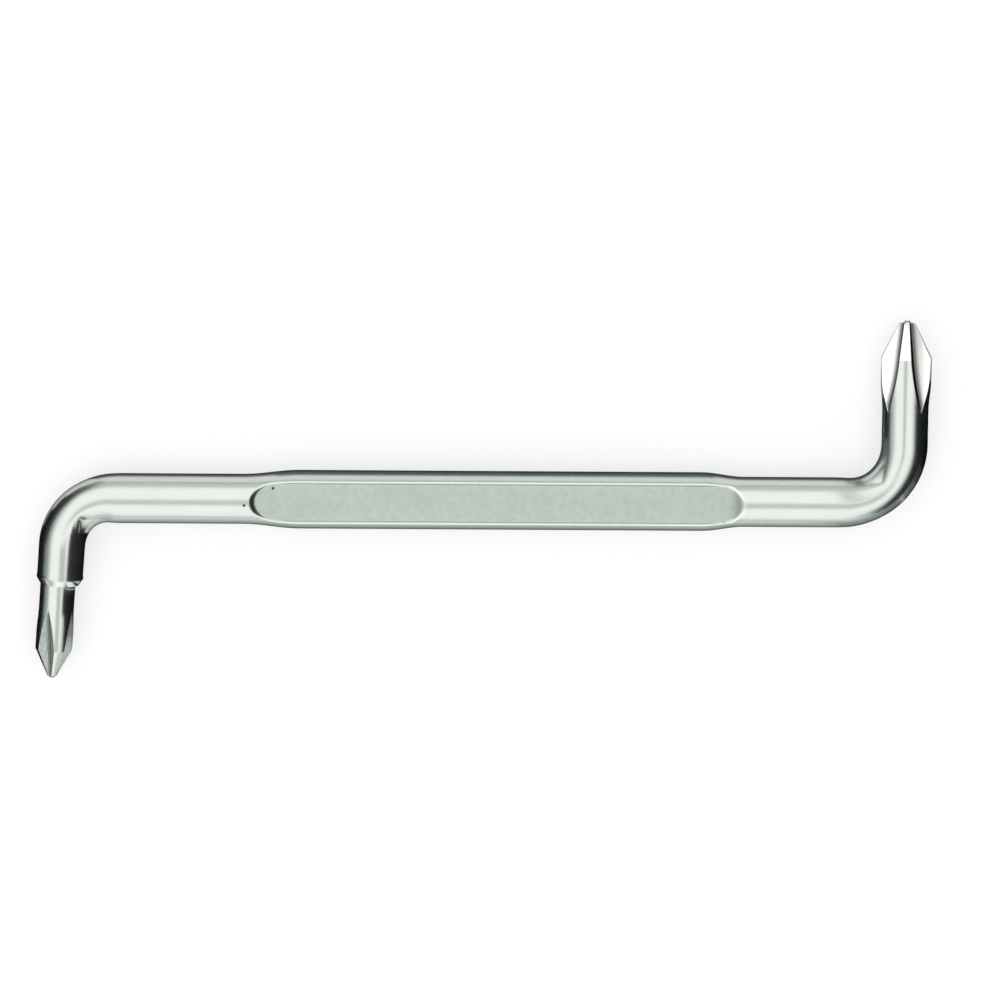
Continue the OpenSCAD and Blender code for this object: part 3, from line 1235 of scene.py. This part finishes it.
@dataclass
class CrossPoint:
    """A cross point ground on the end of an arm, made as one quarter of four."""

    node: str
    elbow: Elbow
    blade_l: float
    shank_d: float
    wing_d: float
    tip_d: float
    nose_angle: float
    web: float
    draft: float
    flute_l: float
    flute_run: float
    root_r: float
    turn: float
    cone_ground: float = 0.0
    # Shade painted into the flute roots, and how far up the flanks it runs.
    root_shade: float = 0.0
    root_run: float = 0.7
    offset: float = 0.0
    edge_angle: float = 26.5
    flute_angle: float = 92.0
    flare_share: float = 0.35
    # The edges' rounding, and how much of a flank it and the root's may take.
    edge_r: float = 0.05
    most_edge: float = 0.3
    most_root: float = 0.5
    # How an outline is divided, and where the outlines lie along the point.
    arc_steps: int = 13
    arc_crowd: float = 1.6
    edge_steps: tuple[float, ...] = (0.33, 0.67, 1.0)
    flank_steps: int = 8
    root_steps: int = 5
    step: float = 0.14
    first_step: float = 1e-4
    least_step: float = 0.012
    key_steps: tuple[float, ...] = (-0.1, -0.04, 0.0, 0.04, 0.1)
    apex_steps: tuple[float, ...] = (0.02, 0.06, 0.12, 0.2, 0.3, 0.42, 0.56)

    @property
    def nose_l(self) -> float:
        """Length of the blunt cone at the very end."""
        return self.tip_d / 2 / np.tan(np.radians(self.nose_angle / 2))

    @property
    def corner_h(self) -> float:
        """Height at which the wings reach their full width."""
        return self.nose_l + (self.wing_d - self.tip_d) / 2 / np.tan(np.radians(self.edge_angle))

    def outer_r(self, height: float) -> float:
        """Radius over the wings, or of the shank.

        Args:
            height: Distance from the tip.

        Returns:
            The radius.
        """
        if height < self.nose_l:
            return height * np.tan(np.radians(self.nose_angle / 2))
        if height < self.corner_h:
            return self.tip_d / 2 + (height - self.nose_l) * np.tan(np.radians(self.edge_angle))
        start = self.flute_l * (1 - self.flare_share)
        drop = (self.wing_d - self.shank_d) / 2
        return self.wing_d / 2 - drop * float(ease((height - start) / (self.flute_l - start)))

    def root_at(self, height: float) -> float:
        """Distance of a flute's sharp root from the axis.

        Args:
            height: Distance from the tip.

        Returns:
            The distance.
        """
        slope = np.sqrt(2) * np.tan(np.radians(self.draft))
        if height >= self.flute_l:
            return self.shank_d / 2
        root = self.web / np.sqrt(2) + slope * height
        rest = self.flute_l - self.flute_run
        start = self.web / np.sqrt(2) + slope * self.flute_run
        bend = (self.shank_d / 2 - start - slope * rest) / rest**2
        return root + bend * max(height - self.flute_run, 0) ** 2

    def half_section(self, height: float) -> tuple[Array, Array]:
        """Half a quarter's outline, from the middle of a wing to the middle of a flute.

        Args:
            height: Distance from the tip.

        Returns:
            Points out along the flute's middle and across it, and how far each is ground
            and how much shade is painted on it.
        """
        radius, root = self.outer_r(height), self.root_at(height)
        half = np.radians(self.flute_angle / 2)
        tan2 = np.tan(half) ** 2
        if radius > root:
            inner = (root * tan2) ** 2 - (1 + tan2) * (root * root * tan2 - radius * radius)
            u = (root * tan2 + np.sqrt(inner)) / (1 + tan2)
            v = -(u - root) * np.tan(half)
        else:
            u, v = radius, 0.0
        flank = -v / np.sin(half)
        # The arc over the wing stops short of the corner by the edge's rounding.
        cut = min(self.edge_r, self.most_edge * flank)
        stop = np.arctan2(v, u) - cut / max(radius, 1e-6)
        arc = -np.pi / 4 + (stop + np.pi / 4) * crowded(self.arc_steps, self.arc_crowd)
        outline = [np.stack([radius * np.cos(arc), radius * np.sin(arc)], axis=-1)]
        # The rounded edge is a curve drawn towards the corner.
        down = np.array([-np.cos(half), np.sin(half)])
        bevel_from, corner_at = outline[0][-1], np.array([u, v])
        bevel_to = corner_at + down * cut
        outline.append(np.array([
            (1 - t) ** 2 * bevel_from + 2 * t * (1 - t) * corner_at + t * t * bevel_to
            for t in self.edge_steps
        ]))
        # The flank runs down to where the rounded root begins.
        fillet = min(self.root_r, self.most_root * flank)
        tangent = fillet / np.tan(half)
        length = flank - cut - tangent
        ends = ease(np.linspace(0, 1, self.flank_steps + 1)[1:])
        outline.append(bevel_to + down * (length * ends)[:, None])
        centre = root + fillet / np.sin(half)
        around = (np.pi / 2 - half) * np.linspace(1, 0, self.root_steps + 1)[1:]
        outline.append(np.stack([
            centre - fillet * np.cos(around), -fillet * np.sin(around)
        ], axis=-1))
        # The flutes are ground, and shade is painted on them, darker towards the root.
        ground = np.ones(sum(len(part) for part in outline))
        ground[: len(arc)] = self.cone_ground if height < self.corner_h else 0.0
        near = np.clip(1 - length * (1 - ends) / self.root_run, 0, 1)
        unshaded = np.zeros(len(arc) + len(self.edge_steps))
        painted_shade = np.concatenate([unshaded, near, np.ones(self.root_steps)])
        return np.concatenate(outline), np.stack([ground, self.root_shade * painted_shade], axis=-1)

    def heights(self) -> Array:
        """The rings' distances from the tip, close together where the form turns."""
        near = np.array(self.key_steps)
        close = np.concatenate([self.nose_l + near, self.corner_h + near])
        apex = self.flute_l - np.array(self.apex_steps)
        even = np.arange(self.step, self.blade_l, self.step)
        ends = [self.first_step, self.flute_l, self.blade_l]
        rings = np.concatenate([ends, close, apex, even])
        rings = np.unique(np.round(rings[rings > 0], 4))
        return rings[np.concatenate([[True], np.diff(rings) > self.least_step])]

    def quarter(self) -> bpy.types.Mesh:
        """The quarter between the middles of two wings.

        Returns:
            Its open mesh, in metres, tip at the origin and axis along Z.
        """
        rows, shares = [], []
        for height in self.heights():
            half, share = self.half_section(height)
            mirrored = half[-2::-1] * np.array([1.0, -1.0])
            whole = np.concatenate([half, mirrored])
            cos = np.cos(np.pi / 4)
            x = cos * (whole[:, 0] - whole[:, 1])
            y = cos * (whole[:, 0] + whole[:, 1])
            rows.append(np.stack([x, y, np.full(len(x), height)], axis=-1))
            shares.append(np.concatenate([share, share[-2::-1]]))
        top = rows[-1].copy()
        top[:, :2] = 0.0
        tip = np.zeros_like(rows[0])
        rows = [tip, *rows, top]
        shares = np.concatenate([shares[0], *shares, shares[-1]])
        points = np.concatenate(rows)
        columns = len(rows[0])
        first, merged = weld(points)
        faces = []
        for row in range(len(rows) - 1):
            for column in range(columns - 1):
                a = row * columns + column
                b = a + columns
                loop = [merged[a], merged[b], merged[b + 1], merged[a + 1]]
                kept = [int(p) for i, p in enumerate(loop) if p != loop[i - 1]]
                if len(set(kept)) == len(kept) and len(kept) > 2:
                    faces.append(kept)
        mesh = bpy.data.meshes.new(self.node + "_quarter")
        mesh.from_pydata((points[first] * MM).tolist(), [], faces)
        lay_shares(mesh, POINT_SHARES, shares[first])
        mesh.update()
        return mesh

    def matrix(self) -> Matrix:
        """Where the point stands: its tip at the arm's end, its axis back along the arm."""
        run = self.elbow.arm_l + self.blade_l
        turn = Matrix.Rotation(np.radians(-self.turn), 4, "Z") @ Matrix.Rotation(np.pi, 4, "X")
        seat = Matrix.Translation(Vector((-self.offset, 0.0, run)))
        placed = self.elbow.arm_matrix() @ seat @ turn
        placed.translation *= MM
        return placed

    def build(self, maker: PointMaker, material: bpy.types.Material) -> None:
        """Makes the point.

        Args:
            maker: The tree that repeats the quarter.
            material: The point's finish.
        """
        mesh = maker.whole(self.quarter(), material)
        mesh.transform(self.matrix())
        mesh.name = self.node + "_skin"
        dressed(self.node + "_skin", mesh, material, Slot.POINT, self.node)


@dataclass(frozen=True)
class Lamp:
    """One soft box over the tool, facing down."""

    name: str
    x: Pair
    y: Pair
    z: float
    colour: Colour

    def build(self) -> None:
        """Hangs the soft box, with the power at which its colour is its brightness."""
        width, depth = self.x[1] - self.x[0], self.y[1] - self.y[0]
        light = bpy.data.lights.new(self.name, "AREA")
        light.shape = "RECTANGLE"
        light.size = width * MM
        light.size_y = depth * MM
        light.color = self.colour
        light.energy = np.pi * light.size * light.size_y
        lamp = bpy.data.objects.new(self.name, light)
        lamp.location = (sum(self.x) / 2 * MM, sum(self.y) / 2 * MM, self.z * MM)
        lamp.visible_camera = False
        bpy.context.scene.collection.objects.link(lamp)


@dataclass(frozen=True)
class Card:
    """A flat card that only the metal reflects.

    It throws no shadow and stays out of the picture.
    """

    name: str
    corners: tuple[Point, ...]
    shade: Colour

    @classmethod
    def flat(cls, name: str, x: Pair, y: Pair, z: float, shade: Colour) -> "Card":
        """A level card.

        Args:
            name: The card's name.
            x: Where it begins and ends along the bar.
            y: Where it begins and ends across it.
            z: Its height.
            shade: Its brightness.

        Returns:
            The card.
        """
        corners = ((x[0], y[0], z), (x[1], y[0], z), (x[1], y[1], z), (x[0], y[1], z))
        return cls(name, corners, shade)

    @classmethod
    def upright(cls, name: str, x: Pair, y: Pair, top: float, shade: Colour) -> "Card":
        """A card that stands on the floor.

        Args:
            name: The card's name.
            x: Where it begins and ends along the bar.
            y: Where it begins and ends across it.
            top: Its height.
            shade: Its brightness.

        Returns:
            The card.
        """
        corners = ((x[0], y[0], 0.0), (x[1], y[1], 0.0), (x[1], y[1], top), (x[0], y[0], top))
        return cls(name, corners, shade)

    @classmethod
    def ring(cls, name: str, centre: Pair, radii: Pair, turns: Pair, shade: Colour) -> "Card":
        """A level card in the form of a part of a ring, just over the floor.

        Args:
            name: The card's name.
            centre: The ring's centre.
            radii: Its inner and outer radius.
            turns: The angles at which it begins and ends.
            shade: Its brightness.

        Returns:
            The card.
        """
        lift, count = 0.06, 12
        steps = np.radians(np.linspace(*turns, count + 1))
        arcs = [(radii[0], a) for a in steps] + [(radii[1], a) for a in reversed(steps)]
        corners = [(centre[0] + r * np.cos(a), centre[1] + r * np.sin(a), lift) for r, a in arcs]
        return cls(name, tuple(corners), shade)

    def build(self) -> None:
        """Puts up the card."""
        mesh = bpy.data.meshes.new(self.name)
        points = [tuple(c * MM for c in corner) for corner in self.corners]
        mesh.from_pydata(points, [], [list(range(len(points)))])
        material = bpy.data.materials.new(self.name)
        material.use_nodes = True
        desk = NodeDesk(material.node_tree)
        shader = desk.node("ShaderNodeEmission", {}, {"Color": (*self.shade, 1.0)})
        desk.node("ShaderNodeOutputMaterial", {}, {"Surface": shader.outputs[0]})
        mesh.materials.append(material)
        card = bpy.data.objects.new(self.name, mesh)
        card.visible_camera = False
        card.visible_diffuse = False
        card.visible_transmission = False
        card.visible_volume_scatter = False
        card.visible_shadow = False
        bpy.context.scene.collection.objects.link(card)


@dataclass
class Studio:
    """The floor, the light and the camera.

    The cards are the dark and pale boards that bright metal is set up among. The tool mirrors
    the level ones over it as the grey middle line of its bars, and the dark ones beside it as
    the bands along their sides.
    """

    distance: float = 600.0
    tilt: float = 9.7
    roll: float = 0.3437
    aim: Point = (2.662, 0.049, 3.5)
    pixel: float = 0.13968
    image: float = 1000.0
    sensor: float = 36.0
    clip: Pair = (10.0, 20000.0)
    floor_r: float = 3000.0
    floor_corners: int = 64
    sky: Colour = SHADE_SKY
    lamps: tuple[Lamp, ...] = (
        Lamp("box_far", (-480, 300), (-60, 650), 360, (0.66, 0.54, 0.585)),
        Lamp("box_near", (-480, 300), (-1700, -60), 360, (0.66, 0.54, 0.585)),
    )
    cards: tuple[Card, ...] = (
        Card.upright("card_right", (250, 250), (-400, 400), 195, SHADE_BLACK),
        Card.upright("card_left", (-250, -250), (-400, 400), 110, (0.36, 0.4, 0.38)),
        Card.upright("card_horizon", (-420, 420), (420, 420), 40, (0.3, 0.35, 0.33)),
        Card.flat("card_bar_gap", (-61, 61), (-7.2, 1.2), 25, SHADE_SKY),
        Card.flat("card_bar_far", (-56, 54), (-2, 9), 0.04, (0.14, 0.18, 0.18)),
        Card.flat("card_grip_far", (-30, 34), (9, 13), 0.04, (0.14, 0.18, 0.18)),
        Card.flat("card_bar_near", (-53, 52), (-30, -2), 0.04, (0.7, 0.75, 0.73)),
        Card.flat("card_arm_1_gap", (-58.9, -55.3), (-26, -7.5), 12, (0.7, 0.77, 0.72)),
        Card.flat("card_arm_1_in", (-59, -54.6), (-22, -8.5), 0.05, SHADE_BLACK),
        Card.upright("card_arm_1_flag", (-55.2, -54.5), (-12.5, -5.2), 10, SHADE_BLACK),
        Card.upright("card_shank_1_flag", (-56.1, -55.9), (-17, -12.6), 8.5, SHADE_BLACK),
        Card.upright("card_shoulder", (-57.4, -56.05), (-12.8, -13.1), 8, (0.95, 0.97, 0.95)),
        Card.upright("card_blade_1_flag", (-56, -55.7), (-21.8, -17), 6.9, SHADE_BLACK),
        Card.flat("card_arm_1_out", (-172, -59), (-36, -7), 0.05, SHADE_BLACK),
        Card.ring("card_bend_1_a", BEND_1, (12, 120), (165, 181), SHADE_BLACK),
        Card.ring("card_bend_1_b", BEND_1, (15, 120), (150, 165), SHADE_BLACK),
        Card.ring("card_bend_1_c", BEND_1, (19, 120), (135, 150), (0.02, 0.025, 0.025)),
        Card.ring("card_bend_1_d", BEND_1, (25, 120), (120, 135), (0.05, 0.06, 0.06)),
        Card.ring("card_bend_1_e", BEND_1, (30, 120), (105, 120), (0.2, 0.23, 0.22)),
        Card.upright("card_arm_1_far", (-174, -173), (-60, -16), 12, (0.05, 0.055, 0.055)),
        Card.upright("card_wall_1_a", (-173, -165), (-16, 20), 36, (0.02, 0.022, 0.022)),
        Card.upright("card_wall_1_b", (-165, -130), (20, 75), 38, (0.03, 0.035, 0.035)),
        Card.upright("card_wall_1_c", (-130, -100), (75, 95), 30, (0.1, 0.12, 0.12)),
        Card.flat("card_arm_2_gap", (54.1, 58.2), (4, 34), 25, (0.5, 0.56, 0.52)),
        Card.upright("card_arm_2_in", (51.5, 52.5), (8.5, 14.5), 5.5, (0.02, 0.024, 0.028)),
        Card.flat("card_arm_2_mat", (52.5, 59), (9, 14), 0.05, (0.02, 0.024, 0.028)),
        Card.flat("card_arm_2_out", (59, 249), (8.4, 16.5), 0.05, SHADE_BLACK),
        Card.ring("card_bend_2_a", BEND_2, (8.6, 199), (-20, 0), SHADE_BLACK),
        Card.ring("card_bend_2_b", BEND_2, (10, 199), (-31, -20), (0.06, 0.062, 0.062)),
        Card.ring("card_bend_2_c", BEND_2, (11, 199), (-44, -31), (0.2, 0.21, 0.21)),
        Card.ring("card_bend_2_d", BEND_2, (12, 199), (-60, -46), (0.3, 0.32, 0.32)),
        Card.ring("card_bend_2_e", BEND_2, (12, 199), (-90, -60), (0.42, 0.46, 0.45)),
    )

    def floor(self) -> None:
        """Lays the floor that the tool lies on."""
        mesh = bpy.data.meshes.new("floor")
        turn = np.linspace(0, 2 * np.pi, self.floor_corners, endpoint=False)
        rim = [(self.floor_r * MM * np.cos(t), self.floor_r * MM * np.sin(t), 0.0) for t in turn]
        mesh.from_pydata(rim, [], [list(range(len(rim)))])
        mesh.materials.append(FloorPaint().material())
        floor = bpy.data.objects.new("floor", mesh)
        bpy.context.scene.collection.objects.link(floor)

    def world(self) -> None:
        """Sets the even pale surroundings."""
        world = bpy.data.worlds.new("studio")
        world.use_nodes = True
        desk = NodeDesk(world.node_tree)
        glow = desk.node("ShaderNodeBackground", {}, {"Color": (*self.sky, 1.0)})
        desk.node("ShaderNodeOutputWorld", {}, {"Surface": glow.outputs[0]})
        bpy.context.scene.world = world

    def camera(self) -> None:
        """Places the camera above the tool, tilted a little from the size 2 side."""
        tilt, roll = np.radians(self.tilt), np.radians(self.roll)
        ahead = Vector((0.0, -np.sin(tilt), -np.cos(tilt)))
        right = Vector((1.0, 0.0, 0.0))
        up = Vector((0.0, np.cos(tilt), -np.sin(tilt)))
        across = right * np.cos(roll) + up * np.sin(roll)
        over = up * np.cos(roll) - right * np.sin(roll)
        place = (Vector(self.aim) - ahead * self.distance) * MM
        data = bpy.data.cameras.new("camera")
        data.sensor_width = self.sensor
        data.lens = self.sensor * self.distance / (self.pixel * self.image)
        data.clip_start, data.clip_end = (gap * MM for gap in self.clip)
        camera = bpy.data.objects.new("camera", data)
        camera.matrix_world = Matrix((
            (across.x, over.x, -ahead.x, place.x),
            (across.y, over.y, -ahead.y, place.y),
            (across.z, over.z, -ahead.z, place.z),
            (0.0, 0.0, 0.0, 1.0),
        ))
        bpy.context.scene.collection.objects.link(camera)
        bpy.context.scene.camera = camera

    def build(self) -> None:
        """Sets up the whole studio."""
        self.floor()
        self.world()
        for item in (*self.lamps, *self.cards):
            item.build()
        self.camera()
        bpy.context.scene.view_settings.view_transform = "Standard"


def elbows() -> tuple[Elbow, Elbow]:
    """The two ends of the tool.

    Returns:
        The size 1 end and the size 2 end.
    """
    first = Elbow(
        End.SIZE_1, "ph1_bend", "ph1_arm", bend_r=7.25, lean=4.4, bar_r=3.5, bend_tube_r=3.28,
        arm_r=3.21, arm_l=5.5, bevel_l=0.9, ledge_r=2.71, lip=0.06,
    )
    second = Elbow(
        End.SIZE_2, "ph2_bend", "ph2_arm", bend_r=8.4, lean=0.0, bar_r=3.5, bend_tube_r=3.3,
        arm_r=3.21, arm_l=3.4, fold=0.6, edge_soft=1.55,
    )
    return first, second


def main() -> None:
    """Builds the tool and the studio."""
    logging.basicConfig(level=logging.INFO, format="%(message)s")
    satin = Chrome(
        "satin_chrome", worn_colour=(0.585, 0.62, 0.6), pits=((-28.9, 1.95), (-32.9, -0.35))
    ).material()
    # The size 1 point's flutes are ground rougher, and their colour is painted darker as shade.
    dull = Chrome(
        "ground_point_1", ground_colour=(0.44, 0.5, 0.465), ground_roughness=0.5
    ).material()
    # The size 2 point's flutes and cone are polished, and their colour is painted lighter than
    # steel as a highlight.
    bright = Chrome(
        "ground_point_2", ground_colour=(0.88, 0.9, 0.88), ground_light=(0.94, 0.95, 0.93),
        ground_roughness=0.16,
    ).material()
    first, second = elbows()
    for elbow in (first, second):
        elbow.build(satin)
    Grip(first, second).build(satin)
    maker = PointMaker()
    CrossPoint(
        "ph1_blade", first, blade_l=13.5, shank_d=4.9, wing_d=5.16, tip_d=1.27, nose_angle=138,
        web=0.55, draft=7, flute_l=10, flute_run=4.5, root_r=0.15, turn=24, offset=0.2,
        root_shade=0.6, root_run=0.3,
    ).build(maker, dull)
    # Its flutes and its ground cone take the lighter colour, a painted highlight.
    CrossPoint(
        "ph2_blade", second, blade_l=13.8, shank_d=6.42, wing_d=7, tip_d=2.29, nose_angle=140,
        web=0.68, draft=5.75, flute_l=12.6, flute_run=5.5, root_r=0.3, turn=8, cone_ground=1.0,
        root_shade=0.9, root_run=0.6,
    ).build(maker, bright)
    Studio().build()


if __name__ == "__main__":
    main()
